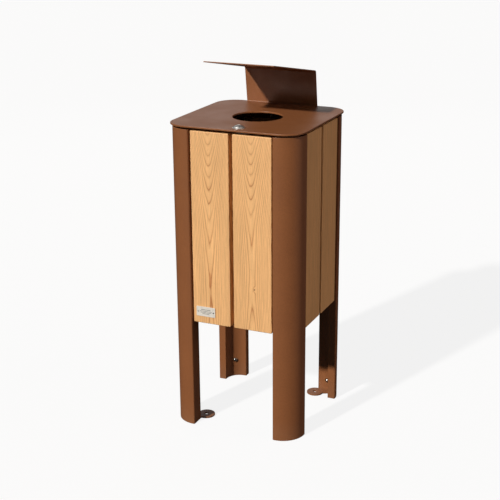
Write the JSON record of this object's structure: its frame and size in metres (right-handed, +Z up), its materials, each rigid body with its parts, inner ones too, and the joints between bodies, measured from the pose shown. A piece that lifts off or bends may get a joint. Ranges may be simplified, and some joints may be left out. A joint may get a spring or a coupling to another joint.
{
  "type": "litter bin",
  "caption": "Square park litter bin: folded steel corner posts as legs, timber slat sides, hinged flat lid with round throw hole and bent rain hood, lift-out liner.",
  "frame": {"origin": "on the ground under the middle of the bin", "axes": "+Z up, the lock and the front face -Y, +X to the right of someone who faces the front"},
  "size_m": [0.411, 0.411, 1.087],
  "materials": {
    "brown_powder_coat": "fine textured matt brown powder coat on folded steel",
    "oiled_oak": "light oiled hardwood with a flat-sawn grain",
    "galvanised_steel": "galvanised sheet",
    "chromed_lock": "bright chromed casting",
    "stainless_steel": "plain stainless steel",
    "black_rubber": "matt black rubber"
  },
  "bodies": {
    "frame": {"post_front_left": "brown_powder_coat", "post_front_right": "brown_powder_coat", "post_back_right": "brown_powder_coat", "post_back_left": "brown_powder_coat", "slat_front_left": "oiled_oak", "slat_front_right": "oiled_oak", "slat_right_front": "oiled_oak", "slat_right_back": "oiled_oak", "slat_back_right": "oiled_oak", "slat_back_left": "oiled_oak", "slat_left_back": "oiled_oak", "slat_left_front": "oiled_oak", "upper_rail_front": "brown_powder_coat", "upper_rail_right": "brown_powder_coat", "upper_rail_back": "brown_powder_coat", "upper_rail_left": "brown_powder_coat", "lower_rail_front": "brown_powder_coat", "lower_rail_right": "brown_powder_coat", "lower_rail_back": "brown_powder_coat", "lower_rail_left": "brown_powder_coat", "floor_tray": "galvanised_steel", "post_skin_front_left": "brown_powder_coat", "post_skin_front_right": "brown_powder_coat", "post_skin_back_right": "brown_powder_coat", "post_skin_back_left": "brown_powder_coat", "foot_tab_front_left": "brown_powder_coat", "foot_tab_back_right": "brown_powder_coat", "foot_bolt_front_left": "stainless_steel", "foot_bolt_front_right": "stainless_steel", "foot_bolt_back_right": "stainless_steel", "foot_bolt_back_left": "stainless_steel", "id_plate": "stainless_steel", "id_rivet_left": "stainless_steel", "id_rivet_right": "stainless_steel", "lid_buffer_left": "black_rubber", "lid_buffer_right": "black_rubber", "hinge_leaf_fixed_left": "stainless_steel", "hinge_leaf_fixed_right": "stainless_steel", "hinge_pin_left": "stainless_steel", "hinge_pin_right": "stainless_steel", "lock_keeper": "stainless_steel"},
    "lid": {"lid_plate": "brown_powder_coat", "rain_hood": "brown_powder_coat", "hinge_leaf_moving_left": "stainless_steel", "hinge_leaf_moving_right": "stainless_steel", "lock_body": "chromed_lock", "lock_nut": "stainless_steel"},
    "lock": {"lock_core": "stainless_steel", "lock_cam": "stainless_steel"},
    "liner": {"liner": "galvanised_steel"}
  },
  "joints": [
    {"name": "lid_hinge", "type": "hinge", "parent": "frame", "child": "lid", "pos_m": [0, 0.1995, 0.91075], "axis": [-1, 0, 0], "range_deg": [0, 95]},
    {"name": "lock_turn", "type": "hinge", "parent": "lid", "child": "lock", "pos_m": [0.016, -0.174, 0.92], "axis": [0, 0, 1], "range_deg": [0, 90]},
    {"name": "liner_lift", "type": "slide", "parent": "frame", "child": "liner", "axis": [0, 0, 1], "range_m": [0, 0.04]}
  ]
}
